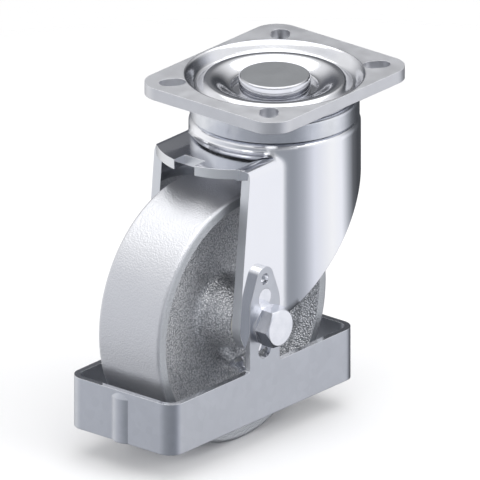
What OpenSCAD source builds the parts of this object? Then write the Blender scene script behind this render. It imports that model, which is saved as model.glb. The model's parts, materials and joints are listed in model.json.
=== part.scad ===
// Swivel castor with a cast iron wheel, a pressed steel fork and a foot guard.
// The origin is the centre of the mounting face. +Z points out of that face,
// the wheel trails towards -X and its axle lies along Y.

/* [Top plate] */
// Length of the top plate, in the rolling direction
plate_l = 104; // [100:1:116]
// Width of the top plate
plate_w = 88; // [88:1:98]
// Thickness of the top plate
plate_t = 6; // [5:0.5:7]
// Corner radius of the top plate
plate_corner_r = 12.5; // [10:0.5:14]
// Distance between the fixing slots, in the rolling direction
slot_spacing_x = 80; // [77:0.5:83]
// Distance between the fixing slots, across the plate
slot_spacing_y = 60; // [58:0.5:64]
// Width of a fixing slot
slot_w = 9; // [8:0.5:10]
// Length of a fixing slot, which points at the centre of the plate
slot_l = 13; // [12:0.5:14]
// Outer radius of the pressed dish at the top face
dish_r = 43.3; // [43:0.1:43.8]
// Depth of the recess for the king pin's head
recess_depth = 8; // [7:0.5:9]
// Thickness of the pressed dish
dish_t = 4.5; // [4:0.25:5]
// Depth of the seat for the bearing cup, below the mounting face
cup_seat_depth = 10.5; // [10:0.25:11.5]

/* [Swivel bearing] */
// Diameter of a ball of the upper row
upper_ball_d = 8; // [7:0.25:8.5]
// Radius of the upper row's pitch circle
upper_pitch_r = 31; // [30:0.25:31.5]
// Number of balls in the upper row
upper_ball_count = 23; // [18:1:23]
// Diameter of a ball of the lower row
lower_ball_d = 6; // [5.5:0.25:6.5]
// Radius of the lower row's pitch circle
lower_pitch_r = 20; // [19:0.25:21]
// Number of balls in the lower row
lower_ball_count = 18; // [14:1:18]
// Radial clearance between a ball and its race
race_clearance = 0.1; // [0.05:0.01:0.15]
// Outer radius of the bearing cup
cup_r = 40.5; // [39.5:0.25:41]
// Thickness of the bearing cup's skirt
cup_skirt_t = 2.5; // [2:0.1:2.8]
// Thickness of the bearing cup's flange
cup_flange_t = 3.4; // [3:0.1:4]
// Diameter of the king pin's shank
pin_d = 20; // [18:0.5:21]
// Diameter of the king pin's head
pin_head_d = 34.4; // [32:0.2:36]
// Distance of the king pin's head below the mounting face
pin_head_drop = 0.5; // [0.2:0.1:1]
// Thickness of the lower race
lower_race_t = 5; // [4:0.5:6]
// Width across flats of the king pin's nut
pin_nut_af = 30; // [27:0.5:32]
// Height of the king pin's nut
pin_nut_h = 9; // [8:0.5:10]

/* [Fork] */
// Clear height between the wheel and the underside of the fork's nose
wheel_headroom = 12.8; // [11:0.2:16]
// Distance of the axle behind the king pin
trail = 46.2; // [44:0.2:48]
// Thickness of the fork's sheet
fork_t = 5; // [4.5:0.1:5.5]
// Outer radius of the fork's skirt
skirt_r = 41.1; // [40.8:0.1:42]
// Radius of the fork's shoulder below the cup
shoulder_r = 3.4; // [2.5:0.1:3.6]
// Step from the fork's crown down to its nose
nose_drop = 4.6; // [4:0.2:5]
// Distance from the king pin to the tip of the fork's nose
nose_reach = 67.5; // [65:0.5:69]
// Radius of the nose's curved front edge
nose_r = 36.5; // [35:0.5:38]
// Width of the notch in the nose
notch_w = 12.6; // [10:0.2:15]
// Depth of the notch in the nose
notch_depth = 8.5; // [6:0.5:10]
// Inner radius of the folds between the nose and the legs
fold_r = 0.8; // [0.5:0.1:1.2]
// Radius of a leg's rounded end
leg_end_r = 15; // [14:0.5:16]
// Lean of the legs' front edges from the vertical
leg_lean = 5.7; // [4.5:0.1:7]
// Slope of the legs' rear edges from the horizontal
leg_slope = 47.6; // [46:0.2:50]
// Radius of the crease between the skirt and the nose and legs
crease_r = 3; // [2:0.5:4]

/* [Wheel] */
// Diameter of the wheel
wheel_d = 125; // [122:1:127]
// Width of the wheel
wheel_w = 38; // [36:1:40]
// Radius of the tread's rounded edges
tread_edge_r = 1.8; // [1:0.2:2.4]
// Inner radius of the rim, at its side faces
rim_in_r = 57; // [55.5:0.5:58]
// Inner radius of the rim, at the web
rim_root_r = 52; // [50:0.5:53]
// Thickness of the web beside the hub
web_t = 12; // [10:0.5:14]
// Growth of the web's thickness out to the rim
web_taper = 5; // [3:0.5:6]
// Length of the hub
hub_l = 46; // [44:0.5:47]
// Gap between an end of the hub and the fork's leg
hub_side_gap = 1.7; // [1.5:0.1:2.2]
// Radius of the hub at its ends
hub_end_r = 14.7; // [14:0.1:15.5]
// Radius of the hub at the web
hub_foot_r = 17; // [16.5:0.1:18]

/* [Axle] */
// Diameter of the axle bolt
bolt_d = 12; // [11:0.25:12]
// Width across flats of the bolt's head and the nut
bolt_af = 18; // [17:0.5:19]
// Height of the bolt's head
bolt_head_h = 7.5; // [6.5:0.5:8]
// Height of the axle nut
axle_nut_h = 12; // [10:0.5:13]
// Outer diameter of the washers
washer_d = 20; // [19:0.5:24]
// Thickness of the washers
washer_t = 2.5; // [2:0.1:3]
// Outer diameter of the axle tube
tube_d = 16; // [15:0.1:16.5]
// Clearance of the axle bolt in its holes
bolt_clearance = 0.1; // [0.05:0.01:0.1]
// Diameter of a roller
roller_d = 4; // [3.5:0.05:4.1]
// Number of rollers
roller_count = 12; // [10:1:12]
// Radial clearance of the rollers
roller_clearance = 0.05; // [0.02:0.01:0.1]

/* [Foot guard] */
// Length of the foot guard
guard_l = 137; // [134:1:144]
// Height of the foot guard's band
guard_h = 26; // [22:1:30]
// Height of the foot guard above the floor
guard_lift = 14.3; // [10:0.1:16]
// Thickness of the foot guard's sheet
guard_t = 3; // [2.5:0.1:3.5]
// Outer radius of the foot guard's corners
guard_corner_r = 8; // [6:0.5:10]
// Width of the foot guard's ears
ear_w = 22; // [21:0.5:24]
// Height of an ear's shoulder above the axle
ear_shoulder = 11.5; // [10:0.5:12.5]
// Height of an ear's top hole above the axle
ear_top_hole = 22.6; // [22:0.2:24]
// Radius of the bend in an ear's outline, at its shoulder
ear_bend_r = 16; // [8:1:20]
// Radius of an ear's rounded top
ear_top_r = 6.2; // [5.5:0.1:7]
// Diameter of an ear's top hole
ear_hole_d = 5.5; // [4.5:0.1:6]
// Diameter of the locating pegs
peg_d = 9.4; // [8:0.1:9.6]
// Distance of the pegs above the axle
peg_rise = 12.9; // [12.7:0.1:13.5]
// Distance of the spare peg holes below the axle
spare_drop = 13.2; // [12.8:0.1:14.5]
// Width of the guard's stiffening bead
bead_w = 10; // [8:0.5:12]
// Height of the guard's stiffening bead
bead_h = 1.5; // [1:0.1:2]

/* [Hidden] */
$fn = 64;

// Small overlap that keeps a cut clear of the face it passes
eps = 0.5;
// Clearance of a shaft or peg that is pushed into its hole
seat_clearance = 0.05;

// Heights, from the mounting face down
dish_floor_z = -recess_depth;
dish_under_z = -recess_depth - dish_t;
cup_seat_z = -cup_seat_depth;
cup_under_z = cup_seat_z - cup_flange_t;
upper_race_r = upper_ball_d / 2 + race_clearance;
upper_groove_depth = 1.0;
crown_groove_depth = 0.5;
upper_ball_z = cup_under_z - upper_race_r + upper_groove_depth;
crown_z = upper_ball_z - upper_race_r + crown_groove_depth;
crown_under_z = crown_z - fork_t;
lower_race_r = lower_ball_d / 2 + race_clearance;
lower_groove_depth = 0.6;
race_groove_depth = 0.8;
lower_ball_z = crown_under_z - lower_race_r + lower_groove_depth;
lower_race_z = lower_ball_z - lower_race_r + race_groove_depth;
pin_nut_z = lower_race_z - lower_race_t;
pin_end_z = pin_nut_z - pin_nut_h - 1.6;
cup_skirt_gap = 0.8;
cup_skirt_z = crown_z + cup_skirt_gap;

// Places of the ridge and the groove of the dish
ridge_in_r = 29;
ridge_out_r = 33;
ridge_z = -2.3;
ridge_crest_w = 1.5;
groove_r = 37.6;
groove_z = -5.4;
recess_r = pin_head_d / 2 + 3.4;
dish_neck_r = cup_r - 1.3;
cup_bore_r = recess_r + 3.4;
cup_edge_r = 1.8;

// Fork
// How far the crease's fillet bites past its tangents, so that it ends in clean edges
crease_bite = 0.08;
fork_gap = hub_l + 2 * hub_side_gap;
leg_in = fork_gap / 2;
leg_out = leg_in + fork_t;
nose_z = crown_z - nose_drop;
axle_x = -trail;
axle_z = nose_z - fork_t - wheel_headroom - wheel_d / 2;
leg_reach_z = axle_z - leg_end_r - eps;
pin_hole_r = pin_d / 2 + 0.3;

// Wheel and bearing
wheel_r = wheel_d / 2;
tube_r = tube_d / 2;
tube_bore_r = bolt_d / 2 + bolt_clearance;
roller_pitch_r = tube_r + roller_clearance + roller_d / 2;
hub_bore_r = roller_pitch_r + roller_d / 2 + roller_clearance;
seal_t = 2.5;
cage_rim = 1.6;
cage_play = 0.4;
roller_l = hub_l - 2 * (seal_t + cage_rim + cage_play);
seal_r = hub_bore_r + 0.8;
thrust_gap = 0.3;
thrust_t = hub_side_gap - thrust_gap;
thrust_r = hub_end_r - 0.8;

// Foot guard
guard_in = leg_out;
guard_out = guard_in + guard_t;
guard_bottom_z = axle_z - wheel_r + guard_lift;
guard_top_z = guard_bottom_z + guard_h;
guard_front_x = axle_x - guard_l / 2;
ear_fillet_r = 1.2;
bead_end_h = 2.4;
bead_top_gap = 1.2;

// Axle stack
head_seat_y = guard_out + washer_t;
nut_end_y = head_seat_y + axle_nut_h;
bolt_end_y = nut_end_y + 2;
insert_t = 2.6;

// Points of a wave that goes smoothly from one level to the next
function wave(r0, z0, r1, z1, n = 10) =
    [for (i = [0 : n]) [r0 + (r1 - r0) * i / n, z0 + (z1 - z0) * (1 - cos(180 * i / n)) / 2]];

// Points of an arc, from one angle to another
function arc(centre, r, a0, a1, n = 5) =
    [for (i = [0 : n]) centre + r * [cos(a0 + (a1 - a0) * i / n), sin(a0 + (a1 - a0) * i / n)]];

// A list of points backwards
function backwards(points) = [for (i = [len(points) - 1 : -1 : 0]) points[i]];

// A box with rounded upright corners, standing on z = 0
module rounded_box(l, w, h, r) {
    translate([-l / 2 + r, -w / 2, 0]) cube([l - 2 * r, w, h]);
    translate([-l / 2, -w / 2 + r, 0]) cube([l, w - 2 * r, h]);
    for (x = [-1, 1], y = [-1, 1])
        translate([x * (l / 2 - r), y * (w / 2 - r), 0]) cylinder(r = r, h = h);
}

// Places its children at the axle, with their Z axis along Y
module at_axle(y = 0) {
    translate([axle_x, y, axle_z]) rotate([-90, 0, 0]) children();
}

// A ring about Z, from one height up by another
module ring(r_out, r_in, z, h) {
    translate([0, 0, z]) difference() {
        cylinder(r = r_out, h = h);
        translate([0, 0, -eps]) cylinder(r = r_in, h = h + 2 * eps);
    }
}

// The groove that a row of balls leaves in the metal beside it
module ball_groove(pitch_r, groove_r, z) {
    translate([0, 0, z]) rotate_extrude() translate([pitch_r, 0]) circle(r = groove_r);
}

// A row of balls
module ball_row(pitch_r, d, count, z) {
    for (i = [0 : count - 1])
        rotate([0, 0, 360 * i / count]) translate([pitch_r, 0, z]) sphere(d = d, $fn = 24);
}

// A hexagon prism whose top end is chamfered round, standing on z = 0
module hex_prism(af, h) {
    chamfer_r = af * 0.48;
    corner_r = af / sqrt(3);
    chamfer_h = (corner_r - chamfer_r) * tan(30);
    intersection() {
        cylinder(r = corner_r, h = h, $fn = 6);
        rotate_extrude() polygon([[0, 0], [corner_r + eps, 0], [corner_r + eps, h - chamfer_h - eps * tan(30)],
            [chamfer_r, h], [0, h]]);
    }
}

// A slot that points at the centre of the plate
module fixing_slot() {
    half_run = (slot_l - slot_w) / 2;
    translate([0, 0, -plate_t - eps]) {
        for (side = [-1, 1])
            translate([side * half_run, 0, 0]) cylinder(d = slot_w, h = plate_t + 2 * eps);
        translate([-half_run, -slot_w / 2, 0]) cube([2 * half_run, slot_w, plate_t + 2 * eps]);
    }
}

// The section of the dish that is pressed into the plate round the king pin
module dish_section() {
    pocket_z = ridge_z - dish_t - 0.6;
    neck_fillet = 2;
    neck_edge = 1.5;
    top = concat(
        [[pin_d / 2 + seat_clearance, dish_floor_z], [recess_r, dish_floor_z], [recess_r, dish_floor_z + 1.6]],
        wave(recess_r + 0.4, dish_floor_z + 2.2, ridge_out_r - ridge_crest_w, ridge_z, 14),
        wave(ridge_out_r, ridge_z, groove_r, groove_z),
        wave(groove_r + 0.4, groove_z, dish_r, 0));
    under = concat(
        [[dish_r, -plate_t]],
        arc([dish_neck_r + neck_fillet, -plate_t - neck_fillet], neck_fillet, 90, 180),
        arc([dish_neck_r - neck_edge, cup_seat_z + neck_edge], neck_edge, 0, -90),
        [[ridge_out_r + 2.6, cup_seat_z], [ridge_out_r, pocket_z], [ridge_in_r, pocket_z],
            [ridge_in_r - 2.6, cup_seat_z], [cup_bore_r - 0.6, cup_seat_z],
            [recess_r + 0.6, dish_under_z], [pin_d / 2 + seat_clearance, dish_under_z]]);
    polygon(concat(top, under));
}

// Pressed steel plate that is bolted to the furniture or machine
module top_plate() {
    slot_turn = atan2(slot_spacing_y, slot_spacing_x);
    color("#b9bbbf") difference() {
        union() {
            difference() {
                translate([0, 0, -plate_t]) rounded_box(plate_l, plate_w, plate_t, plate_corner_r);
                translate([0, 0, -plate_t - eps]) cylinder(r = dish_r - 0.2, h = plate_t + 2 * eps);
            }
            rotate_extrude() dish_section();
        }
        for (x = [-1, 1], y = [-1, 1])
            translate([x * slot_spacing_x / 2, y * slot_spacing_y / 2, 0])
                rotate([0, 0, x * y * slot_turn]) fixing_slot();
    }
}

// King pin, riveted into the dish, which carries the lower race
module king_pin() {
    head_r = pin_head_d / 2;
    color("#96999c") rotate_extrude() polygon(concat(
        [[0, -pin_head_drop]],
        arc([head_r - 1.2, -pin_head_drop - 1.2], 1.2, 90, 0),
        [[head_r, dish_floor_z], [pin_d / 2, dish_floor_z],
            [pin_d / 2, pin_end_z + 1.5], [pin_d / 2 - 1.5, pin_end_z], [0, pin_end_z]]));
}

// Pressed cup with the upper race and the skirt that covers the balls
module bearing_cup() {
    skirt_in_r = cup_r - cup_skirt_t;
    color("#a9acb1") difference() {
        rotate_extrude() polygon(concat(
            [[cup_bore_r, cup_under_z], [cup_bore_r, cup_seat_z]],
            arc([cup_r - cup_edge_r, cup_seat_z - cup_edge_r], cup_edge_r, 90, 0),
            [[cup_r, cup_skirt_z], [skirt_in_r, cup_skirt_z], [skirt_in_r, cup_under_z]]));
        ball_groove(upper_pitch_r, upper_race_r, upper_ball_z);
    }
}

// Rubber ring inside the cup's skirt that keeps dust out of the balls
module head_seal() {
    seal_out_r = cup_r - cup_skirt_t - seat_clearance;
    seal_in_r = upper_pitch_r + upper_ball_d / 2 + 0.4;
    color("#26272a") rotate_extrude() polygon([[seal_in_r, crown_z + 1.6], [seal_out_r, cup_under_z - 0.1],
        [seal_out_r, crown_z + 0.3], [seal_in_r + 0.8, crown_z + 0.3]]);
}

// Balls between the cup and the fork's crown
module upper_balls() {
    color("#c9ccd0") ball_row(upper_pitch_r, upper_ball_d, upper_ball_count, upper_ball_z);
}

// Balls between the fork's crown and the lower race
module lower_balls() {
    color("#c9ccd0") ball_row(lower_pitch_r, lower_ball_d, lower_ball_count, lower_ball_z);
}

// Hardened ring on the king pin under the fork's crown
module lower_race() {
    color("#8d9094") difference() {
        ring(lower_pitch_r + lower_ball_d, pin_d / 2 + seat_clearance, pin_nut_z, lower_race_t);
        ball_groove(lower_pitch_r, lower_race_r, lower_ball_z);
    }
}

// Lock nut that sets the play of both rows of balls
module king_pin_nut() {
    color("#b4b7bb") difference() {
        translate([0, 0, pin_nut_z]) mirror([0, 0, 1]) hex_prism(pin_nut_af, pin_nut_h);
        translate([0, 0, pin_end_z - eps])
            cylinder(r = pin_d / 2 + seat_clearance, h = pin_nut_z - pin_end_z + 2 * eps);
        translate([0, 0, pin_nut_z - pin_nut_h + 0.6]) cylinder(r = pin_d / 2 + 1.5, h = insert_t);
    }
}

// Plastic ring in the king pin's nut
module king_pin_nut_insert() {
    color("#3d5f8a") ring(pin_d / 2 + 1.5 - seat_clearance, pin_d / 2 + seat_clearance,
        pin_nut_z - pin_nut_h + 0.6 + seat_clearance, insert_t - 2 * seat_clearance);
}

// The folded sheet of nose and legs as a solid block, before its inside is taken out
module arch(half_w, top_z, r, x0, x1) {
    bottom_z = leg_reach_z;
    translate([x0, -half_w, bottom_z]) cube([x1 - x0, 2 * half_w, top_z - r - bottom_z]);
    translate([x0, -half_w + r, bottom_z]) cube([x1 - x0, 2 * (half_w - r), top_z - bottom_z]);
    for (side = [-1, 1])
        translate([x0, side * (half_w - r), top_z - r]) rotate([0, 90, 0]) cylinder(r = r, h = x1 - x0);
}

// Everything inside the fork's outline as seen from the side
module leg_outline() {
    front = [axle_x - leg_end_r * cos(leg_lean), axle_z + leg_end_r * sin(leg_lean)];
    rear = [axle_x + leg_end_r * sin(leg_slope), axle_z - leg_end_r * cos(leg_slope)];
    top_z = crown_z + eps;
    front_top = [front[0] + (top_z - front[1]) * tan(leg_lean), top_z];
    rear_top = [rear[0] + (top_z - rear[1]) / tan(leg_slope), top_z];
    width = 2 * (skirt_r + eps);
    rotate([90, 0, 0]) linear_extrude(width, center = true)
        polygon([front, front_top, rear_top, rear, [axle_x, axle_z]]);
    translate([0, -width / 2, 0]) at_axle() cylinder(r = leg_end_r, h = width);
}

// Solid bell of the skirt and the crown
module bell() {
    rotate_extrude() polygon(concat([[0, leg_reach_z], [0, crown_z]],
        arc([skirt_r - shoulder_r, crown_z - shoulder_r], shoulder_r, 90, 0, 9),
        [[skirt_r, leg_reach_z]]));
}

// Where a ball is that rolls in the crease, over the nose (0 to 1), round the fold (to 2) and down the leg
// (to 3), and which way the sheet under it faces. The skirt gives its place along X.
function crease_path(s) =
    let (fold = fork_t + fold_r, reach = fold + crease_r - crease_bite, y = leg_out - fold, z = nose_z - fold,
        turn = 90 * (s - 1))
    s < 1 ? [[s * y, z + reach], [0, 0, 1]] :
    s < 2 ? [[y + reach * sin(turn), z + reach * cos(turn)], [0, sin(turn), cos(turn)]] :
    [[y + reach, z + (leg_reach_z - z) * (s - 2)], [0, 1, 0]];

// Section of the crease's fillet: the hollow arc from the skirt to the sheet, and a point inside the metal
function crease_section(s, n = 5) =
    let (path = crease_path(s), y = path[0][0], z = path[0][1], to_sheet = -path[1],
        ring_r = skirt_r - shoulder_r, ring_z = min(z, crown_z - shoulder_r),
        gap = shoulder_r + crease_r - crease_bite,
        out = ring_r + sqrt(pow(gap, 2) - pow(z - ring_z, 2)),
        radial = [-sqrt(pow(out, 2) - pow(y, 2)), y, 0] / out,
        centre = radial * out + [0, 0, z],
        to_skirt = (radial * ring_r + [0, 0, ring_z] - centre) / gap,
        angle = acos(to_skirt * to_sheet),
        middle = (to_skirt + to_sheet) / norm(to_skirt + to_sheet))
    concat(
        [for (i = [0 : n]) centre + crease_r / sin(angle)
            * (to_skirt * sin(angle * (1 - i / n)) + to_sheet * sin(angle * i / n))],
        [centre + middle * (crease_r / cos(angle / 2) + fork_t / 3)]);

// Fillet all along the crease, from one leg's foot over the nose to the other leg's foot
module crease() {
    half = concat([for (i = [1 : 7]) i / 7], [for (i = [1 : 8]) 1 + i / 8], [3]);
    places = concat(-backwards(half), [0], half);
    sections = [for (s = places) [for (p = crease_section(abs(s))) [p[0], (s < 0 ? -1 : 1) * p[1], p[2]]]];
    m = len(sections[0]);
    last = len(sections) - 1;
    polyhedron(points = [for (section = sections, p = section) p], faces = concat(
        [[for (j = [0 : m - 1]) j], [for (j = [m - 1 : -1 : 0]) last * m + j]],
        [for (k = [0 : last - 1], j = [0 : m - 1]) [k * m + j, (k + 1) * m + j, k * m + (j + 1) % m]],
        [for (k = [0 : last - 1], j = [0 : m - 1])
            [(k + 1) * m + j, (k + 1) * m + (j + 1) % m, k * m + (j + 1) % m]]));
}

// Fork, deep drawn from one sheet: crown, skirt, nose and two legs
module fork() {
    arch_back_x = -27;
    nose_centre_x = -nose_reach + nose_r;
    color("#d3d6da") difference() {
        union() {
            intersection() {
                arch(leg_out, nose_z, fork_t + fold_r, -nose_reach - eps, arch_back_x);
                union() {
                    leg_outline();
                    translate([nose_centre_x, 0, nose_z - fork_t - fold_r])
                        cylinder(r = nose_r, h = fork_t + fold_r + eps);
                }
            }
            intersection() {
                union() {
                    bell();
                    crease();
                }
                leg_outline();
            }
        }
        translate([0, 0, leg_reach_z - eps])
            cylinder(r = skirt_r - fork_t, h = crown_under_z - leg_reach_z + eps);
        translate([0, 0, -eps]) arch(leg_in, nose_z - fork_t + eps, fold_r, -nose_reach - 2 * eps, 0);
        translate([-nose_reach - eps, -notch_w / 2, nose_z - fork_t - eps])
            cube([notch_depth + eps, notch_w, fork_t + 2 * eps]);
        translate([0, 0, crown_under_z - eps]) cylinder(r = pin_hole_r, h = fork_t + 2 * eps);
        ball_groove(upper_pitch_r, upper_race_r, upper_ball_z);
        ball_groove(lower_pitch_r, lower_race_r, lower_ball_z);
        at_axle(-leg_out - eps) cylinder(r = tube_bore_r, h = 2 * (leg_out + eps));
        translate([0, 0, peg_rise]) at_axle(-leg_out - eps)
            cylinder(r = peg_d / 2 + seat_clearance, h = 2 * (leg_out + eps));
    }
}

// Hexagon bolt through the fork, the guard's ears and the axle tube
module axle_bolt() {
    color("#cfd2d6") {
        at_axle(-head_seat_y) mirror([0, 0, 1]) hex_prism(bolt_af, bolt_head_h);
        at_axle(-head_seat_y - eps) cylinder(d = bolt_d, h = head_seat_y + bolt_end_y + eps - 1);
        at_axle(bolt_end_y - 1) cylinder(d1 = bolt_d, d2 = bolt_d - 2, h = 1);
    }
}

// One plain washer of the axle
module axle_washer(y) {
    at_axle(y) ring(washer_d / 2, tube_bore_r, 0, washer_t);
}

// Washer under the bolt's head
module head_washer() {
    color("#c4c7cb") axle_washer(-head_seat_y);
}

// Washer under the nut
module nut_washer() {
    color("#c4c7cb") axle_washer(guard_out);
}

// Lock nut of the axle
module axle_nut() {
    color("#c4c7cb") at_axle(head_seat_y) difference() {
        hex_prism(bolt_af, axle_nut_h);
        translate([0, 0, -eps]) cylinder(r = bolt_d / 2 + seat_clearance, h = axle_nut_h + 2 * eps);
        translate([0, 0, axle_nut_h - insert_t - 0.6]) cylinder(r = bolt_d / 2 + 1.3, h = insert_t);
    }
}

// Plastic ring in the axle nut
module axle_nut_insert() {
    color("#3d5f8a") at_axle(head_seat_y) ring(bolt_d / 2 + 1.3 - seat_clearance, bolt_d / 2 + seat_clearance,
        axle_nut_h - insert_t - 0.6 + seat_clearance, insert_t - 2 * seat_clearance);
}

// Steel tube that the bolt clamps between the legs, and the rollers run on
module axle_tube() {
    color("#a3a6aa") at_axle(-leg_in) ring(tube_r, tube_bore_r, 0, fork_gap);
}

// Steel cage that keeps the rollers apart
module roller_cage() {
    cage_in_r = tube_r + 0.5;
    cage_out_r = hub_bore_r - 0.5;
    color("#8e9094") at_axle(-roller_l / 2) difference() {
        ring(cage_out_r, cage_in_r, -cage_rim, roller_l + 2 * cage_rim);
        for (i = [0 : roller_count - 1]) rotate([0, 0, 360 * i / roller_count])
            translate([roller_pitch_r - roller_d, -roller_d / 2 - 0.1, -0.15])
                cube([2 * roller_d, roller_d + 0.2, roller_l + 0.3]);
    }
}

// Rollers of the wheel's bearing
module rollers() {
    color("#c9ccd0") at_axle(-roller_l / 2)
        for (i = [0 : roller_count - 1]) rotate([0, 0, 360 * i / roller_count])
            translate([roller_pitch_r, 0, 0]) cylinder(d = roller_d, h = roller_l, $fn = 24);
}

// Seals in the ends of the hub
module hub_seals() {
    color("#26272a") for (y = [-hub_l / 2, hub_l / 2 - seal_t])
        at_axle(y) ring(seal_r - seat_clearance, tube_r + 0.1, 0, seal_t);
}

// Thrust washers between the hub and the legs
module thrust_washers() {
    color("#d8d6cc") for (y = [-leg_in, leg_in - thrust_t])
        at_axle(y) ring(thrust_r, tube_r + seat_clearance, 0, thrust_t);
}

// Half of the wheel's section, from the axis out to the tread
function wheel_half() =
    let (rim_y = wheel_w / 2, web_y = web_t / 2, outer_y = (web_t + web_taper) / 2, foot = 5, root = 6)
    concat(
        [[0, hub_l / 2], [hub_end_r - 0.8, hub_l / 2], [hub_end_r, hub_l / 2 - 0.8]],
        arc([hub_foot_r + foot, web_y + foot], foot, 180, 270),
        arc([rim_root_r - root, outer_y + root], root, 270, 345),
        [[rim_in_r, rim_y]],
        arc([wheel_r - tread_edge_r, rim_y - tread_edge_r], tread_edge_r, 90, 0, 4));

// Grease boss at the foot of the hub, with its Z axis along the nipple
module at_boss() {
    at_axle() rotate([0, 0, 90]) translate([hub_foot_r - 2, 0, -web_t / 2]) rotate([0, 135, 0]) children();
}

// Cast iron wheel: rim, web, hub and grease boss in one piece
module wheel() {
    half = wheel_half();
    boss_l = 12;
    color("#b7b9bb") difference() {
        union() {
            at_axle() rotate_extrude() polygon(concat(half, backwards([for (p = half) [p[0], -p[1]]])));
            at_boss() cylinder(r1 = 6.2, r2 = 5.2, h = boss_l);
        }
        at_axle(-hub_l / 2 - eps) cylinder(r = hub_bore_r, h = hub_l + 2 * eps);
        for (y = [-hub_l / 2 - eps, hub_l / 2 - seal_t])
            at_axle(y) cylinder(r = seal_r, h = seal_t + eps);
        at_boss() translate([0, 0, 6]) cylinder(r = 3 + seat_clearance, h = boss_l);
    }
}

// Grease nipple in the boss
module grease_nipple() {
    color("#d9dbde") at_boss() translate([0, 0, 7]) {
        cylinder(r = 3, h = 5);
        translate([0, 0, 5]) cylinder(r = 7 / sqrt(3), h = 2.4, $fn = 6);
        translate([0, 0, 7.4]) rotate_extrude() polygon([[0, 0], [2.9, 0], [1.7, 2.2], [2.2, 3.1], [1.6, 4.3], [0, 4.6]]);
    }
}

// One side of an ear's outline: the fillet at its foot, the bend at its shoulder and the start of its top
function ear_side() =
    let (toward = atan2(ear_shoulder - ear_top_hole, ear_w / 2),
        reach = norm([ear_w / 2, ear_shoulder - ear_top_hole]),
        tangent = toward + acos(ear_top_r / reach),
        tip = [ear_top_r * cos(tangent), ear_top_hole + ear_top_r * sin(tangent)],
        lean = atan2(ear_w / 2 - tip[0], tip[1] - ear_shoulder),
        bend = [ear_w / 2 - ear_bend_r, ear_shoulder - ear_bend_r * tan(lean / 2)],
        foot_z = guard_top_z - axle_z)
    concat([[ear_w / 2 + ear_fillet_r, foot_z - eps]],
        arc([ear_w / 2 + ear_fillet_r, foot_z + ear_fillet_r], ear_fillet_r, 270, 180, 3),
        arc(bend, ear_bend_r, 0, lean, 4), [tip]);

// One ear of the foot guard, flat on the fork's leg
module guard_ear() {
    side = ear_side();
    translate([axle_x, guard_out, axle_z]) rotate([90, 0, 0]) {
        linear_extrude(guard_t) polygon(concat(side, backwards([for (p = side) [-p[0], p[1]]])));
        translate([0, ear_top_hole, 0]) cylinder(r = ear_top_r, h = guard_t);
    }
}

// A hole through both ears, at a height above the axle
module ear_hole(rise, r) {
    translate([0, 0, rise]) at_axle(-guard_out - eps) cylinder(r = r, h = 2 * (guard_out + eps));
}

// Foot guard: a band of sheet steel round the wheel, with an ear on each side
module foot_guard() {
    bead_r = (pow(bead_w / 2, 2) + pow(bead_h, 2)) / (2 * bead_h);
    bead_x = guard_front_x - bead_h + bead_r;
    bead_l = guard_h - bead_top_gap - bead_end_h;
    color("#aeb1b6") difference() {
        union() {
            translate([axle_x, 0, guard_bottom_z]) difference() {
                rounded_box(guard_l, 2 * guard_out, guard_h, guard_corner_r);
                translate([0, 0, -eps]) rounded_box(guard_l - 2 * guard_t, 2 * guard_in, guard_h + 2 * eps,
                    guard_corner_r - guard_t);
            }
            guard_ear();
            mirror([0, 1, 0]) guard_ear();
            intersection() {
                translate([bead_x, 0, guard_bottom_z]) {
                    cylinder(r = bead_r, h = bead_l);
                    translate([0, 0, bead_l]) cylinder(r1 = bead_r, r2 = bead_r - bead_h, h = bead_end_h);
                }
                translate([guard_front_x - bead_h - eps, -bead_w, guard_bottom_z])
                    cube([bead_h + eps + guard_t / 2, 2 * bead_w, guard_h]);
            }
        }
        translate([bead_x, 0, guard_bottom_z - eps]) cylinder(r = bead_r - guard_t, h = bead_l - guard_t + eps);
        ear_hole(0, tube_bore_r);
        ear_hole(peg_rise, peg_d / 2 + seat_clearance);
        ear_hole(-spare_drop, peg_d / 2 + seat_clearance);
        ear_hole(ear_top_hole, ear_hole_d / 2);
    }
}

// Pegs that stop the guard from turning on the axle
module locating_pegs() {
    color("#d3d6da") for (side = [-1, 1])
        translate([0, 0, peg_rise]) at_axle(side > 0 ? leg_in : -guard_out)
            cylinder(d = peg_d, h = fork_t + guard_t);
}

top_plate();
king_pin();
bearing_cup();
head_seal();
upper_balls();
fork();
lower_balls();
lower_race();
king_pin_nut();
king_pin_nut_insert();
axle_bolt();
head_washer();
nut_washer();
axle_nut();
axle_nut_insert();
axle_tube();
roller_cage();
rollers();
hub_seals();
thrust_washers();
wheel();
grease_nipple();
foot_guard();
locating_pegs();
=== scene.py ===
# Swivel castor with a cast iron wheel, dressed piece by piece in the order of its assembly.
import json
import math

import bpy
from mathutils import Matrix, Vector


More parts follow.
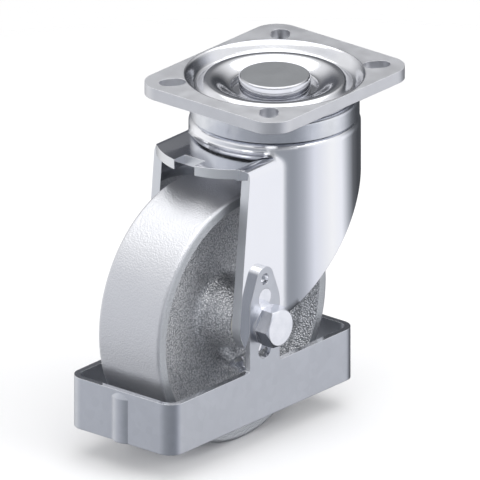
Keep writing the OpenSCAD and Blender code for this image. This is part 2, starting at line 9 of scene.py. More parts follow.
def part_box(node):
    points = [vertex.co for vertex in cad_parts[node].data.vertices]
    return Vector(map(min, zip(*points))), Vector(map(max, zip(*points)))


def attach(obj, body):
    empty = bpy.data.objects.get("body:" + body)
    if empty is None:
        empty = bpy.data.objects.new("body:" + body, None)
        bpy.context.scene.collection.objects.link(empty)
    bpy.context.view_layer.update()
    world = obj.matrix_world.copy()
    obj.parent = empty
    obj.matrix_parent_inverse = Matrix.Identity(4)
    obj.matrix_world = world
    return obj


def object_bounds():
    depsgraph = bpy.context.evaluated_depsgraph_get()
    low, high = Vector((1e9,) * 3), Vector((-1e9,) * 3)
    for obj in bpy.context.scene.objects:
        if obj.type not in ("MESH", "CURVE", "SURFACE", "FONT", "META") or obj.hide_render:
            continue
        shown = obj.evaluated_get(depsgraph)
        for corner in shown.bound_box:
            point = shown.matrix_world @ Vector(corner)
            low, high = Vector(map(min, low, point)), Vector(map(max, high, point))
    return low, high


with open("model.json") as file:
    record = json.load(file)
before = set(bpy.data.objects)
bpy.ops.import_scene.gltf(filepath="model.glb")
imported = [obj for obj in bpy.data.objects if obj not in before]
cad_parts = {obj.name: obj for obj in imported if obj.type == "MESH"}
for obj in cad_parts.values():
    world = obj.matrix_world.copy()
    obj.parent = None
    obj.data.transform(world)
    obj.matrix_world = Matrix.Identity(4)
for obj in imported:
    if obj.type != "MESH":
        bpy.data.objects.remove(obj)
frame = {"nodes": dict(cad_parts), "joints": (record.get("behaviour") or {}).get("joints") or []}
cad_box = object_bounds()


# Top plate. Zinc plated sheet steel, 6 mm thick, blanked and pressed in one stroke.
# Its flat rim is matt from the mill, and the pressed dish is burnished by the tool.
def linear(code):
    """An sRGB hex colour as Blender's linear RGBA."""
    shares = [int(code[i : i + 2], 16) / 255 for i in (1, 3, 5)]
    return [*(c / 12.92 if c <= 0.04045 else ((c + 0.055) / 1.055) ** 2.4 for c in shares), 1.0]


def add_node(tree, kind, settings=None, **sockets):
    """Adds a node with its settings. A socket goes by its name, or by its number after a low dash."""
    node = tree.nodes.new(kind)
    for name, value in (settings or {}).items():
        setattr(node, name, value)
    for name, value in sockets.items():
        key = int(name[1:]) if name[0] == "_" and name[1:].isdigit() else name.replace("_", " ")
        if isinstance(value, bpy.types.NodeSocket):
            tree.links.new(value, node.inputs[key])
        else:
            node.inputs[key].default_value = value
    return node


MM = 0.001
CLOUD, GRAIN = 9, 0.5
CLOUD_LOW, CLOUD_HIGH = 0.35, 0.65
CLEAR_SHINE, HAZY_SHINE = -0.02, 0.03
# Edges are rounded in the shading within this radius, and painted lighter there as a painted highlight.
EDGE_ROUND_R = 0.4 * MM
EDGE_HIGHLIGHT_TONE, EDGE_HIGHLIGHT_SHARE = linear("#F4F5F8"), 0.6
EDGE_HIGHLIGHT_STARTS, EDGE_HIGHLIGHT_ENDS = 0.995, 0.9
RELIEF_HEIGHT, FAINT = 0.6 * MM, 0.04


def per_mm(size):
    """A texture's scale that makes its pattern about this many millimetres wide."""
    return 1 / (size * MM)


def start_finish(name):
    """An empty material, its tree, and the texture coordinates of the piece that it is on."""
    material = bpy.data.materials.new(name)
    material.use_nodes = True
    tree = material.node_tree
    tree.nodes.clear()
    return material, tree, add_node(tree, "ShaderNodeTexCoord").outputs


def metal_face(
    tree, point, tone, haze, rough, cloud=CLOUD, relief=None, depth=FAINT, metallic=1.0, round_r=EDGE_ROUND_R
):
    """Plated metal: faint clouds in colour and shine, a grain or another relief, and edges rounded in the
    shading and painted brighter as a highlight.
    """
    clouds = add_node(tree, "ShaderNodeTexNoise", Vector=point, Scale=per_mm(cloud), Detail=4.0).outputs[0]
    hazy = add_node(tree, "ShaderNodeMapRange", Value=clouds, _1=CLOUD_LOW, _2=CLOUD_HIGH).outputs[0]
    face = add_node(tree, "ShaderNodeMix", {"data_type": "RGBA"}, _0=hazy, _6=tone, _7=haze).outputs[2]
    rounded = add_node(tree, "ShaderNodeBevel", {"samples": 4}, Radius=round_r).outputs[0]
    true_face = add_node(tree, "ShaderNodeNewGeometry").outputs["Normal"]
    turn = add_node(
        tree, "ShaderNodeVectorMath", {"operation": "DOT_PRODUCT"}, _0=rounded, _1=true_face
    ).outputs["Value"]
    # Painted highlight: where the rounded normal turns away from the true one, the colour is lightened toward
    # a pale tone.
    edge_highlight = add_node(
        tree, "ShaderNodeMapRange", Value=turn, _1=EDGE_HIGHLIGHT_STARTS, _2=EDGE_HIGHLIGHT_ENDS, _3=0.0, _4=EDGE_HIGHLIGHT_SHARE
    ).outputs[0]
    colour = add_node(
        tree, "ShaderNodeMix", {"data_type": "RGBA"}, _0=edge_highlight, _6=face, _7=EDGE_HIGHLIGHT_TONE
    ).outputs[2]
    uneven = add_node(tree, "ShaderNodeMapRange", Value=hazy, _3=CLEAR_SHINE, _4=HAZY_SHINE).outputs[0]
    shine = add_node(tree, "ShaderNodeMath", {"operation": "ADD"}, _0=rough, _1=uneven).outputs[0]
    if relief is None:
        relief = add_node(
            tree, "ShaderNodeTexNoise", Vector=point, Scale=per_mm(GRAIN), Detail=2.0
        ).outputs[0]
    bump = add_node(
        tree, "ShaderNodeBump", Height=relief, Strength=depth, Distance=RELIEF_HEIGHT, Normal=rounded
    ).outputs[0]
    shader = add_node(
        tree, "ShaderNodeBsdfPrincipled",
        Base_Color=colour, Metallic=metallic, Roughness=shine, Normal=bump,
    ).outputs[0]
    add_node(tree, "ShaderNodeOutputMaterial", Surface=shader)


def dress(material, slot, *names):
    """Gives CAD nodes a material. The slot argument is not used."""
    for name in names:
        piece = frame["nodes"][name]
        piece.data.materials.clear()
        piece.data.materials.append(material)


FLAT_TONE, FLAT_ROUGH = linear("#D6D7DB"), 0.42
PRESSED_TONE, PRESSED_ROUGH = linear("#E2E3E8"), 0.10
PLATE_HAZE = linear("#DCDDE1")
PRESSED_R = 43.3 * MM
PRESSED_EDGE = 0.6 * MM

mill_zinc, tree, here = start_finish("mill_zinc_plate")
level = add_node(
    tree, "ShaderNodeVectorMath", {"operation": "MULTIPLY"}, _0=here["Object"], _1=(1, 1, 0)
).outputs[0]
from_pin = add_node(tree, "ShaderNodeVectorMath", {"operation": "LENGTH"}, _0=level).outputs["Value"]
pressed = add_node(
    tree, "ShaderNodeMapRange", {"interpolation_type": "SMOOTHSTEP"},
    Value=from_pin, _1=PRESSED_R - PRESSED_EDGE, _2=PRESSED_R + PRESSED_EDGE, _3=1.0, _4=0.0,
).outputs[0]
tone = add_node(
    tree, "ShaderNodeMix", {"data_type": "RGBA"}, _0=pressed, _6=FLAT_TONE, _7=PRESSED_TONE
).outputs[2]
rough = add_node(tree, "ShaderNodeMapRange", Value=pressed, _3=FLAT_ROUGH, _4=PRESSED_ROUGH).outputs[0]
metal_face(tree, here["Object"], tone, PLATE_HAZE, rough)
dress(mill_zinc, "plate_steel", "top_plate")

# King pin. Turned from round bar, zinc plated, and riveted into the dish of the plate.
# Its faced end keeps the rings of the lathe and reads grey, while its side mirrors the dish.
# The rings of a real tool are too fine to show here, so they are drawn about ten times as wide.
PIN_SIDE_TONE, PIN_SIDE_ROUGH = linear("#C8C9CD"), 0.09
PIN_FACE_TONE, PIN_FACE_ROUGH = linear("#A2A4A7"), 0.46
FACED_FROM, FACED_TO = 0.9, 0.99
LATHE_RING, RING_WANDER, RING_DEPTH = 2.83, 0.4, 0.03
WAVE_TURN = math.tau / 20

turned_steel, tree, here = start_finish("turned_zinc_steel")
facing_up = add_node(tree, "ShaderNodeSeparateXYZ", Vector=here["Normal"]).outputs["Z"]
faced = add_node(tree, "ShaderNodeMapRange", Value=facing_up, _1=FACED_FROM, _2=FACED_TO).outputs[0]
tone = add_node(
    tree, "ShaderNodeMix", {"data_type": "RGBA"}, _0=faced, _6=PIN_SIDE_TONE, _7=PIN_FACE_TONE
).outputs[2]
rough = add_node(tree, "ShaderNodeMapRange", Value=faced, _3=PIN_SIDE_ROUGH, _4=PIN_FACE_ROUGH).outputs[0]
rings = add_node(
    tree, "ShaderNodeTexWave", {"wave_type": "RINGS", "rings_direction": "Z"},
    Vector=here["Object"], Scale=per_mm(LATHE_RING / WAVE_TURN), Distortion=RING_WANDER,
).outputs["Fac"]
metal_face(tree, here["Object"], tone, tone, rough, relief=rings, depth=RING_DEPTH)
dress(turned_steel, "pin_steel", "king_pin")

# Bearing cup. A ring drawn from strip and hardened, zinc plated, pressed on under the plate.
# Hardening leaves its wall a little duller than the fork's.
CUP_TONE, CUP_HAZE, CUP_ROUGH = linear("#E2E4E9"), linear("#D5D8DE"), 0.2

cup_steel, tree, here = start_finish("drawn_cup_steel")
metal_face(tree, here["Object"], CUP_TONE, CUP_HAZE, CUP_ROUGH)
dress(cup_steel, "cup_steel", "bearing_cup")

# Seals. Moulded nitrile rubber, one inside the cup's skirt and one at each end of the hub.
# It is matt black, with a faint grey bloom and the fine skin of its mould.
RUBBER_TONE, BLOOM_TONE = linear("#1B1C1E"), linear("#2C2D30")
RUBBER_ROUGH, BLOOM_ROUGH = 0.5, 0.7
BLOOM, MOULD_SKIN, SKIN_HEIGHT = 5, 0.4, 0.1 * MM

nitrile, tree, here = start_finish("nitrile_rubber")
bloom = add_node(
    tree, "ShaderNodeTexNoise", Vector=here["Object"], Scale=per_mm(BLOOM), Detail=3.0
).outputs[0]
colour = add_node(
    tree, "ShaderNodeMix", {"data_type": "RGBA"}, _0=bloom, _6=RUBBER_TONE, _7=BLOOM_TONE
).outputs[2]
rough = add_node(tree, "ShaderNodeMapRange", Value=bloom, _3=RUBBER_ROUGH, _4=BLOOM_ROUGH).outputs[0]
skin = add_node(
    tree, "ShaderNodeTexNoise", Vector=here["Object"], Scale=per_mm(MOULD_SKIN), Detail=2.0
).outputs[0]
bump = add_node(tree, "ShaderNodeBump", Height=skin, Strength=0.1, Distance=SKIN_HEIGHT).outputs[0]
rubber = add_node(
    tree, "ShaderNodeBsdfPrincipled", Base_Color=colour, Roughness=rough, Normal=bump
).outputs[0]
add_node(tree, "ShaderNodeOutputMaterial", Surface=rubber)
dress(nitrile, "seal_rubber", "head_seal", "hub_seals")

# Balls, lower race, axle tube and rollers. Bearing steel, hardened, ground and bare.
# Grinding leaves a faint grey film of oil and fine scratches.
GROUND_TONE, OIL_TONE, GROUND_ROUGH = linear("#C9CBCF"), linear("#B4B7BC"), 0.12
OIL_FILM, SCRATCH, SCRATCH_DEPTH = 4, 0.8, 0.02

bearing_steel, tree, here = start_finish("ground_bearing_steel")
scratch = add_node(
    tree, "ShaderNodeTexNoise", Vector=here["Object"], Scale=per_mm(SCRATCH), Detail=6.0
).outputs[0]
metal_face(
    tree, here["Object"], GROUND_TONE, OIL_TONE, GROUND_ROUGH,
    cloud=OIL_FILM, relief=scratch, depth=SCRATCH_DEPTH,
)
dress(bearing_steel, "bearing_steel", "upper_balls", "lower_balls", "lower_race", "axle_tube", "rollers")

# Fork. One deep drawn sheet, 5 mm thick: crown, round skirt, nose and two legs, bright zinc plated.
# Drawing stretches the sheet smooth, so it mirrors like chrome. Its cut edges stay grey and matt.
# Where the skirt turns into a leg the crease is soft, so the shading rounds it more than other edges, and the
# painted edge highlight is wider there.
DRAWN_TONE, DRAWN_ROUGH, DRAWN_DEPTH = linear("#F1F2F6"), 0.08, 0.003
CUT_TONE, CUT_ROUGH = linear("#E6E8EB"), 0.4
CUT_STARTS, CUT_ENDS = -0.6, -0.8
FRONT_EDGE_X = -42 * MM
CREASE_X, CREASE_R = -28.4 * MM, 4 * MM
CREASE_REACH, CREASE_FADE = 5 * MM, 6 * MM

bright_zinc_sheet, tree, here = start_finish("bright_zinc_drawn_sheet")
forward = add_node(tree, "ShaderNodeSeparateXYZ", Vector=here["Normal"]).outputs["X"]
along = add_node(tree, "ShaderNodeSeparateXYZ", Vector=here["Object"]).outputs["X"]
edge_on = add_node(tree, "ShaderNodeMapRange", Value=forward, _1=CUT_STARTS, _2=CUT_ENDS).outputs[0]
in_front = add_node(
    tree, "ShaderNodeMath", {"operation": "LESS_THAN"}, _0=along, _1=FRONT_EDGE_X
).outputs[0]
cut = add_node(tree, "ShaderNodeMath", {"operation": "MULTIPLY"}, _0=edge_on, _1=in_front).outputs[0]
tone = add_node(tree, "ShaderNodeMix", {"data_type": "RGBA"}, _0=cut, _6=DRAWN_TONE, _7=CUT_TONE).outputs[2]
rough = add_node(tree, "ShaderNodeMapRange", Value=cut, _3=DRAWN_ROUGH, _4=CUT_ROUGH).outputs[0]
past_crease = add_node(tree, "ShaderNodeMath", {"operation": "SUBTRACT"}, _0=along, _1=CREASE_X).outputs[0]
beside = add_node(tree, "ShaderNodeMath", {"operation": "ABSOLUTE"}, _0=past_crease).outputs[0]
crease = add_node(
    tree, "ShaderNodeMapRange", Value=beside, _1=CREASE_REACH, _2=CREASE_FADE, _3=CREASE_R, _4=EDGE_ROUND_R
).outputs[0]
metal_face(tree, here["Object"], tone, tone, rough, depth=DRAWN_DEPTH, round_r=crease)
dress(bright_zinc_sheet, "bright_zinc", "fork")

# Nuts, washers, axle bolt, grease nipple and pegs. Turned or forged steel, barrel plated with bright zinc.
# The barrel rounds their corners, and tiny knocks keep their faces from being true mirrors.
BARREL_TONE, BARREL_HAZE, BARREL_ROUGH = linear("#F2F3F8"), linear("#EBEDF3"), 0.15
BARREL_CLOUD, KNOCK, KNOCK_DEPTH = 6, 3, 0.008
FASTENERS = (
    "king_pin_nut", "axle_bolt", "head_washer", "nut_washer", "axle_nut", "grease_nipple", "locating_pegs",
)

bright_zinc, tree, here = start_finish("bright_zinc_fastener")
knocks = add_node(
    tree, "ShaderNodeTexNoise", Vector=here["Object"], Scale=per_mm(KNOCK), Detail=1.0
).outputs[0]
metal_face(
    tree, here["Object"], BARREL_TONE, BARREL_HAZE, BARREL_ROUGH,
    cloud=BARREL_CLOUD, relief=knocks, depth=KNOCK_DEPTH,
)
dress(bright_zinc, "bright_zinc", *FASTENERS)

# Wheel. Grey iron, cast in sand, zinc plated, and turned on the tread and the rim's side faces.
# The web and the hub keep the skin of the sand, which breaks their shine into grains of about 1 mm.
# Hollows between the grains are painted darker and the grains' tops lighter, a painted shade and light on the
# sand skin.
HOLLOW_SHADE_TONE, GRAIN_TOP_LIGHT_TONE = linear("#B8BABD"), linear("#FAFAFC")
HOLLOW_SHADE_FROM, HOLLOW_SHADE_TO = 0.75, 0.2
TREAD_TONE, RIM_SIDE_SHADE_TONE = linear("#D8D9DD"), linear("#BFC2C6")
CAST_ROUGH, TURNED_ROUGH = 0.32, 0.4
CAST_DEPTH, TURNED_DEPTH = 0.55, 0.2
CAST_METALLIC = 0.9
SAND, PEBBLE, PEBBLE_SHARE = 0.9, 0.9, -1.1
RIM_EDGE_R = 57 * MM
TURNED_BEFORE, TURNED_AFTER = 0.6 * MM, 0.3 * MM
SIDE_STARTS, SIDE_ENDS = 0.85, 0.95

axle = next(joint["pos_m"] for joint in frame["joints"] if joint["name"] == "wheel_spin")
cast_iron, tree, here = start_finish("zinc_plated_cast_iron")
from_axle = add_node(
    tree, "ShaderNodeVectorMath", {"operation": "SUBTRACT"}, _0=here["Object"], _1=axle
).outputs[0]
square_on = add_node(
    tree, "ShaderNodeVectorMath", {"operation": "MULTIPLY"}, _0=from_axle, _1=(1, 0, 1)
).outputs[0]
radius = add_node(tree, "ShaderNodeVectorMath", {"operation": "LENGTH"}, _0=square_on).outputs["Value"]
turned = add_node(
    tree, "ShaderNodeMapRange", {"interpolation_type": "SMOOTHSTEP"},
    Value=radius, _1=RIM_EDGE_R - TURNED_BEFORE, _2=RIM_EDGE_R + TURNED_AFTER,
).outputs[0]
sand = add_node(
    tree, "ShaderNodeTexNoise", Vector=here["Object"], Scale=per_mm(SAND), Detail=1.0
).outputs[0]
pebbles = add_node(
    tree, "ShaderNodeTexVoronoi", Vector=here["Object"], Scale=per_mm(PEBBLE)
).outputs["Distance"]
skin = add_node(
    tree, "ShaderNodeMath", {"operation": "MULTIPLY_ADD"}, _0=pebbles, _1=PEBBLE_SHARE, _2=sand
).outputs[0]
depth = add_node(tree, "ShaderNodeMapRange", Value=turned, _3=CAST_DEPTH, _4=TURNED_DEPTH).outputs[0]
# Painted shade and light: the colour darkens toward the hollows between pebbles and lightens on their tops.
grain_top_light = add_node(tree, "ShaderNodeMapRange", Value=pebbles, _1=HOLLOW_SHADE_FROM, _2=HOLLOW_SHADE_TO).outputs[0]
shaded_cast_tone = add_node(
    tree, "ShaderNodeMix", {"data_type": "RGBA"}, _0=grain_top_light, _6=HOLLOW_SHADE_TONE, _7=GRAIN_TOP_LIGHT_TONE
).outputs[2]
# Painted shade: faces turned sideways on the rim are coloured darker than the tread, though both are the same
# turned iron.
sideways = add_node(tree, "ShaderNodeSeparateXYZ", Vector=here["Normal"]).outputs["Y"]
faced = add_node(tree, "ShaderNodeMath", {"operation": "ABSOLUTE"}, _0=sideways).outputs[0]
rim_side_shade = add_node(tree, "ShaderNodeMapRange", Value=faced, _1=SIDE_STARTS, _2=SIDE_ENDS).outputs[0]
shaded_turned_tone = add_node(
    tree, "ShaderNodeMix", {"data_type": "RGBA"}, _0=rim_side_shade, _6=TREAD_TONE, _7=RIM_SIDE_SHADE_TONE
).outputs[2]
tone = add_node(
    tree, "ShaderNodeMix", {"data_type": "RGBA"}, _0=turned, _6=shaded_cast_tone, _7=shaded_turned_tone
).outputs[2]
rough = add_node(tree, "ShaderNodeMapRange", Value=turned, _3=CAST_ROUGH, _4=TURNED_ROUGH).outputs[0]
metal_face(tree, here["Object"], tone, tone, rough, relief=skin, depth=depth, metallic=CAST_METALLIC)
dress(cast_iron, "cast_iron", "wheel")

# Roller cage. Pressed from steel strip, bent to a ring, and left bare.
# It is dull, with the sheen of drawing oil.
STRIP_TONE, STRIP_HAZE, STRIP_ROUGH, STRIP_CLOUD = linear("#8E8F91"), linear("#77787B"), 0.4, 6

cage_steel, tree, here = start_finish("dull_pressed_strip")
metal_face(tree, here["Object"], STRIP_TONE, STRIP_HAZE, STRIP_ROUGH, cloud=STRIP_CLOUD)
dress(cage_steel, "cage_steel", "roller_cage")

# Thrust washers. Moulded acetal, one between each end of the hub and the leg beside it.
# Undyed, it is off-white with faint flow marks, and lets a little light in.
ACETAL_TONE, FLOW_TONE = linear("#C9C9C5"), linear("#DDDCD7")
ACETAL_ROUGH, FLOW_ROUGH, FLOW_MARK = 0.34, 0.44, 7

acetal, tree, here = start_finish("natural_acetal")
flow = add_node(
    tree, "ShaderNodeTexNoise", Vector=here["Object"], Scale=per_mm(FLOW_MARK), Detail=2.0
).outputs[0]
colour = add_node(
    tree, "ShaderNodeMix", {"data_type": "RGBA"}, _0=flow, _6=ACETAL_TONE, _7=FLOW_TONE
).outputs[2]
rough = add_node(tree, "ShaderNodeMapRange", Value=flow, _3=ACETAL_ROUGH, _4=FLOW_ROUGH).outputs[0]
plastic = add_node(
    tree, "ShaderNodeBsdfPrincipled",
    Base_Color=colour, Roughness=rough, Subsurface_Weight=0.1, Subsurface_Radius=(MM, MM, MM),
).outputs[0]
add_node(tree, "ShaderNodeOutputMaterial", Surface=plastic)
dress(acetal, "washer_plastic", "thrust_washers")

# Foot guard. Galvanised sheet steel, 3 mm thick, cut, given its bead and ears, and folded to a closed band.
# The zinc bath leaves a smooth grey sheen with faint spangle, and the sheared edges shine.
SPANGLE_DARK, SPANGLE_PALE = linear("#C9CCD3"), linear("#CDD0D7")
ZINC_ROUGH, ZINC_DEPTH, SPANGLE = 0.33, 0.003, 4
SHEARED_TONE, SHEARED_ROUGH = linear("#EDEEF1"), 0.12
BAND_TOP_Z = -127.6 * MM
FACES_SIDE, FACES_UP = 0.5, 0.8

galvanised, tree, here = start_finish("galvanised_sheet")
facing = add_node(tree, "ShaderNodeSeparateXYZ", Vector=here["Normal"]).outputs
across = add_node(tree, "ShaderNodeMath", {"operation": "ABSOLUTE"}, _0=facing["Y"]).outputs[0]
upright = add_node(tree, "ShaderNodeMath", {"operation": "ABSOLUTE"}, _0=facing["Z"]).outputs[0]
height = add_node(tree, "ShaderNodeSeparateXYZ", Vector=here["Object"]).outputs["Z"]
on_ear = add_node(
    tree, "ShaderNodeMath", {"operation": "GREATER_THAN"}, _0=height, _1=BAND_TOP_Z
).outputs[0]
not_side = add_node(tree, "ShaderNodeMath", {"operation": "LESS_THAN"}, _0=across, _1=FACES_SIDE).outputs[0]
ear_edge = add_node(tree, "ShaderNodeMath", {"operation": "MULTIPLY"}, _0=on_ear, _1=not_side).outputs[0]
level_edge = add_node(
    tree, "ShaderNodeMath", {"operation": "GREATER_THAN"}, _0=upright, _1=FACES_UP
).outputs[0]
sheared = add_node(tree, "ShaderNodeMath", {"operation": "MAXIMUM"}, _0=ear_edge, _1=level_edge).outputs[0]
spangle = add_node(
    tree, "ShaderNodeTexVoronoi", Vector=here["Object"], Scale=per_mm(SPANGLE)
).outputs["Color"]
frost = add_node(tree, "ShaderNodeSeparateXYZ", Vector=spangle).outputs["X"]
sheet_tone = add_node(
    tree, "ShaderNodeMix", {"data_type": "RGBA"}, _0=frost, _6=SPANGLE_DARK, _7=SPANGLE_PALE
).outputs[2]
tone = add_node(
    tree, "ShaderNodeMix", {"data_type": "RGBA"}, _0=sheared, _6=sheet_tone, _7=SHEARED_TONE
).outputs[2]
rough = add_node(tree, "ShaderNodeMapRange", Value=sheared, _3=ZINC_ROUGH, _4=SHEARED_ROUGH).outputs[0]
metal_face(tree, here["Object"], tone, tone, rough, depth=ZINC_DEPTH)
dress(galvanised, "galvanised_steel", "foot_guard")

# Lock rings of the two nuts. Moulded nylon, pressed into the nuts' collars.
# The blue dye takes unevenly, and the moulding leaves a soft sheen.
NYLON_DARK, NYLON_PALE = linear("#38587F"), linear("#456A98")
NYLON_ROUGH_LOW, NYLON_ROUGH_HIGH, DYE_CLOUD = 0.4, 0.5, 3

nylon, tree, here = start_finish("blue_nylon")
dye = add_node(
    tree, "ShaderNodeTexNoise", Vector=here["Object"], Scale=per_mm(DYE_CLOUD), Detail=2.0
).outputs[0]
colour = add_node(
    tree, "ShaderNodeMix", {"data_type": "RGBA"}, _0=dye, _6=NYLON_DARK, _7=NYLON_PALE
).outputs[2]
rough = add_node(tree, "ShaderNodeMapRange", Value=dye, _3=NYLON_ROUGH_LOW, _4=NYLON_ROUGH_HIGH).outputs[0]
plastic = add_node(tree, "ShaderNodeBsdfPrincipled", Base_Color=colour, Roughness=rough).outputs[0]
add_node(tree, "ShaderNodeOutputMaterial", Surface=plastic)
dress(nylon, "insert_nylon", "king_pin_nut_insert", "axle_nut_insert")

# Threads. Rolled on the ends of the king pin and the axle bolt, and seen where these stand out of their nuts.
# Each is a ridge that follows a helix, as coarse as an M20 and an M12 thread, in the fastener's bright zinc.
PIN_R, PIN_PITCH = 10 * MM, 2.5 * MM
BOLT_R, BOLT_PITCH = 6 * MM, 1.75 * MM
THREAD_ROOT = 0.25 * MM
RIDGE_SHARE = 0.3
STEPS_PER_TURN, RIDGE_CORNERS = 48, 4
THREAD_SIZES = ("Radius", "Pitch", "Length")

thread_tree = bpy.data.node_groups.new("rolled_thread", "GeometryNodeTree")
thread_tree.interface.new_socket("Thread", in_out="OUTPUT", socket_type="NodeSocketGeometry")
for size in THREAD_SIZES:
    thread_tree.interface.new_socket(size, in_out="INPUT", socket_type="NodeSocketFloat")
asked = add_node(thread_tree, "NodeGroupInput").outputs
turns = add_node(
    thread_tree, "ShaderNodeMath", {"operation": "DIVIDE"}, _0=asked["Length"], _1=asked["Pitch"]
).outputs[0]
ridge_size = add_node(
    thread_tree, "ShaderNodeMath", {"operation": "MULTIPLY"}, _0=asked["Pitch"], _1=RIDGE_SHARE
).outputs[0]
helix = add_node(
    thread_tree, "GeometryNodeCurveSpiral",
    Resolution=STEPS_PER_TURN, Rotations=turns,
    Start_Radius=asked["Radius"], End_Radius=asked["Radius"], Height=asked["Length"],
).outputs[0]
flanks = add_node(
    thread_tree, "GeometryNodeCurvePrimitiveCircle", Resolution=RIDGE_CORNERS, Radius=ridge_size
).outputs[0]
swept = add_node(
    thread_tree, "GeometryNodeCurveToMesh", Curve=helix, Profile_Curve=flanks, Fill_Caps=True
).outputs[0]
whole = add_node(thread_tree, "GeometryNodeRealizeInstances", Geometry=swept).outputs[0]
plated = add_node(thread_tree, "GeometryNodeSetMaterial", Geometry=whole, Material=bright_zinc).outputs[0]
add_node(thread_tree, "NodeGroupOutput", Thread=plated)


def roll_thread(name, body, radius, pitch, foot, length, turned):
    """A thread round a pin of that radius, from its foot out, turned from the Z axis to the pin's."""
    blank = bpy.data.objects.new(name, bpy.data.meshes.new(name))
    bpy.context.scene.collection.objects.link(blank)
    roller = blank.modifiers.new("rolling", "NODES")
    roller.node_group = thread_tree
    ridge = RIDGE_SHARE * pitch
    for size, value in zip(THREAD_SIZES, (radius, pitch, length - 2 * ridge)):
        roller[thread_tree.interface.items_tree[size].identifier] = value
    ready = blank.evaluated_get(bpy.context.evaluated_depsgraph_get())
    blank.data = bpy.data.meshes.new_from_object(ready)
    blank.modifiers.clear()
    blank.data.transform(Matrix.Translation(foot) @ turned @ Matrix.Translation((0, 0, ridge)))
    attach(blank, body)


pin_low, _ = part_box("king_pin")
pin_nut_low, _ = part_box("king_pin_nut")
_, bolt_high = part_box("axle_bolt")
_, nut_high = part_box("axle_nut")
roll_thread(
    "king_pin_thread", "mounting", PIN_R - THREAD_ROOT, PIN_PITCH,
    (0, 0, pin_low[2]), pin_nut_low[2] - pin_low[2], Matrix.Identity(4),
)
roll_thread(
    "axle_bolt_thread", "swivel_fork", BOLT_R - THREAD_ROOT, BOLT_PITCH,
    (axle[0], nut_high[1], axle[2]), bolt_high[1] - nut_high[1], Matrix.Rotation(math.radians(-90), 4, "X"),
)

# Studio floor and backdrop. Matt white paper, which keeps the castor's shadow and shows its fibres close by.
# It thins out to the white behind it, and from below it is clear, so that the castor can be seen.
PAPER_SIZE = 4
PAPER_TONE, PAPER_ROUGH = linear("#FBFBFC"), 0.9
FIBRE, FIBRE_HEIGHT = 1.5, 0.05 * MM
SWEEP_NEAR, SWEEP_FAR = 0.25, 0.6

bpy.ops.mesh.primitive_plane_add(size=PAPER_SIZE, location=(0, 0, cad_box[0].z))
floor = bpy.context.object
floor.name = "floor"
floor.visible_glossy = False
paper, tree, here = start_finish("matt_paper")
fibre = add_node(
    tree, "ShaderNodeTexNoise", Vector=here["Object"], Scale=per_mm(FIBRE), Detail=3.0
).outputs[0]
bump = add_node(tree, "ShaderNodeBump", Height=fibre, Strength=0.05, Distance=FIBRE_HEIGHT).outputs[0]
sheet = add_node(
    tree, "ShaderNodeBsdfPrincipled", Base_Color=PAPER_TONE, Roughness=PAPER_ROUGH, Normal=bump
).outputs[0]
from_below = add_node(tree, "ShaderNodeNewGeometry").outputs["Backfacing"]
away = add_node(tree, "ShaderNodeVectorMath", {"operation": "LENGTH"}, _0=here["Object"]).outputs["Value"]
spent = add_node(
    tree, "ShaderNodeMapRange", {"interpolation_type": "SMOOTHSTEP"}, Value=away, _1=SWEEP_NEAR, _2=SWEEP_FAR
).outputs[0]
clear = add_node(tree, "ShaderNodeMath", {"operation": "MAXIMUM"}, _0=from_below, _1=spent).outputs[0]
unseen = add_node(tree, "ShaderNodeBsdfTransparent").outputs[0]
sides = add_node(tree, "ShaderNodeMixShader", _0=clear, _1=sheet, _2=unseen).outputs[0]
add_node(tree, "ShaderNodeOutputMaterial", Surface=sides)
floor.data.materials.append(paper)

# White surround. The walls of a photo studio, painted white and lit apart from the castor.
# What the camera and the metal see of them is plain white, and they light the castor less.
WHITE_SEEN, SKY_LIGHT = 1.0, 0.7

world = bpy.data.worlds.new("studio")
bpy.context.scene.world = world
world.use_nodes = True
sky = world.node_tree
sky.nodes.clear()
path = add_node(sky, "ShaderNodeLightPath").outputs
mirrored = add_node(
    sky, "ShaderNodeMath", {"operation": "MAXIMUM"}, _0=path["Is Camera Ray"], _1=path["Is Glossy Ray"]
).outputs[0]
seen = add_node(
    sky, "ShaderNodeMath", {"operation": "MAXIMUM"}, _0=mirrored, _1=path["Is Transmission Ray"]
).outputs[0]
strength = add_node(sky, "ShaderNodeMapRange", Value=seen, _3=SKY_LIGHT, _4=WHITE_SEEN).outputs[0]
white = add_node(sky, "ShaderNodeBackground", Color=(1, 1, 1, 1), Strength=strength).outputs[0]
add_node(sky, "ShaderNodeOutputWorld", Surface=white)

# Grey boards. Card round the castor, out of view, which gives its metal the dark bands of a photo studio.
# Each tone stands at its bearing in degrees. The boards fade to white at the top and darken at the foot.
BOARD_R, BOARD_LOW, BOARD_HIGH = 0.6, -6.0, 0.6
BOARD_SIDES = 64
FADE_LOW, FADE_HIGH = 0.16, 0.55
SHADE_LOW, SHADE_HIGH = -0.75, -0.29
SHADE_TONE = linear("#4A4C50")
BOARD_TONES = (
    (-180, "#A6AAAF"), (-163, "#9A9DA3"), (-115, "#989CA3"), (-102, "#B4B7BF"), (-87, "#E6E8F0"),
    (-60, "#FFFFFF"), (-42, "#F8F9FE"), (-27, "#AEB1B7"), (-14, "#66686C"), (2, "#4A4C50"), (30, "#4A4C50"),
    (60, "#6C6E74"), (95, "#FFFFFF"), (118, "#FFFFFF"), (142, "#DEE0E5"), (162, "#C8CAD0"), (180, "#A6AAAF"),
)

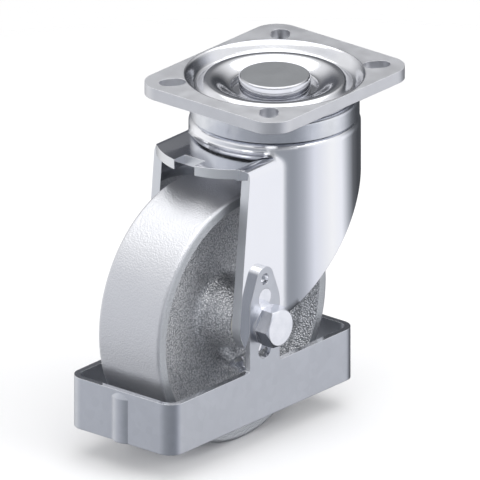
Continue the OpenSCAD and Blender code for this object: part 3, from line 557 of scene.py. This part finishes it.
board_middle = (BOARD_HIGH + BOARD_LOW) / 2
bpy.ops.mesh.primitive_cylinder_add(
    vertices=BOARD_SIDES, radius=BOARD_R, depth=BOARD_HIGH - BOARD_LOW, end_fill_type="NOTHING",
    location=(0, 0, board_middle),
)
boards = bpy.context.object
boards.name = "boards"
boards.visible_camera = False
boards.visible_diffuse = False
boards.visible_shadow = False
boards.visible_transmission = False
grey_card, tree, here = start_finish("grey_card")
around = add_node(
    tree, "ShaderNodeTexGradient", {"gradient_type": "RADIAL"}, Vector=here["Object"]
).outputs[1]
tones = add_node(tree, "ShaderNodeValToRGB", _0=around)
for _ in BOARD_TONES[2:]:
    tones.color_ramp.elements.new(0.5)
for stop, (bearing, code) in zip(tones.color_ramp.elements, BOARD_TONES):
    stop.position = (bearing + 180) / 360
    stop.color = linear(code)
height = add_node(tree, "ShaderNodeSeparateXYZ", Vector=here["Object"]).outputs["Z"]
fade = add_node(
    tree, "ShaderNodeMapRange", {"interpolation_type": "SMOOTHSTEP"},
    Value=height, _1=FADE_LOW - board_middle, _2=FADE_HIGH - board_middle,
).outputs[0]
sunk = add_node(
    tree, "ShaderNodeMapRange", {"interpolation_type": "SMOOTHSTEP"},
    Value=height, _1=SHADE_HIGH - board_middle, _2=SHADE_LOW - board_middle,
).outputs[0]
shaded = add_node(
    tree, "ShaderNodeMix", {"data_type": "RGBA"}, _0=sunk, _6=tones.outputs[0], _7=SHADE_TONE
).outputs[2]
faded = add_node(
    tree, "ShaderNodeMix", {"data_type": "RGBA"}, _0=fade, _6=shaded, _7=(1, 1, 1, 1)
).outputs[2]
glow = add_node(tree, "ShaderNodeEmission", Color=faded).outputs[0]
add_node(tree, "ShaderNodeOutputMaterial", Surface=glow)
boards.data.materials.append(grey_card)


# Lamps. Round soft boxes: a wide one overhead, one at the bolt's side and a weak one in front.
# They are turned down until each colour renders about as it is written.
def soft_box(name, place, aim, size, watts):
    """An area lamp at a place, turned to what it lights."""
    lamp = bpy.data.lights.new(name, "AREA")
    lamp.shape = "DISK"
    lamp.size = size
    lamp.energy = watts
    holder = bpy.data.objects.new(name, lamp)
    bpy.context.scene.collection.objects.link(holder)
    holder.location = place
    holder.rotation_mode = "QUATERNION"
    holder.rotation_quaternion = (Vector(place) - Vector(aim)).to_track_quat("Z", "Y")


middle = (cad_box[0] + cad_box[1]) / 2
soft_box("overhead", (0.0, 0.0, 0.7), middle, size=1.4, watts=4.4)
soft_box("side", (0.25, -0.8, 0.35), middle, size=0.8, watts=3.0)
soft_box("front", (-0.9, -0.1, 0.1), middle, size=0.8, watts=1.6)

# Camera. It stands where the photo was taken from, without perspective, one metre from the mounting face.
# The scale and the place of the mounting face in the picture were measured on the photo.
PHOTO_WIDTH = 480
PX_PER_MM = 2.1
ORIGIN_PX = (274.7, 73.3)
AZIMUTH, ELEVATION = math.radians(-50), math.radians(22)

level_share = math.cos(ELEVATION)
back = Vector((math.sin(AZIMUTH) * level_share, -math.cos(AZIMUTH) * level_share, math.sin(ELEVATION)))
right = Vector((math.cos(AZIMUTH), math.sin(AZIMUTH), 0))
up = back.cross(right)
centre_right = (PHOTO_WIDTH / 2 - ORIGIN_PX[0]) / PX_PER_MM * MM
centre_up = (ORIGIN_PX[1] - PHOTO_WIDTH / 2) / PX_PER_MM * MM
camera_data = bpy.data.cameras.new("camera")
camera_data.type = "ORTHO"
camera_data.ortho_scale = PHOTO_WIDTH / PX_PER_MM * MM
camera = bpy.data.objects.new("camera", camera_data)
bpy.context.scene.collection.objects.link(camera)
camera.location = right * centre_right + up * centre_up + back
camera.rotation_mode = "QUATERNION"
camera.rotation_quaternion = back.to_track_quat("Z", "Y")
bpy.context.scene.camera = camera
bpy.context.scene.view_settings.view_transform = "Standard"
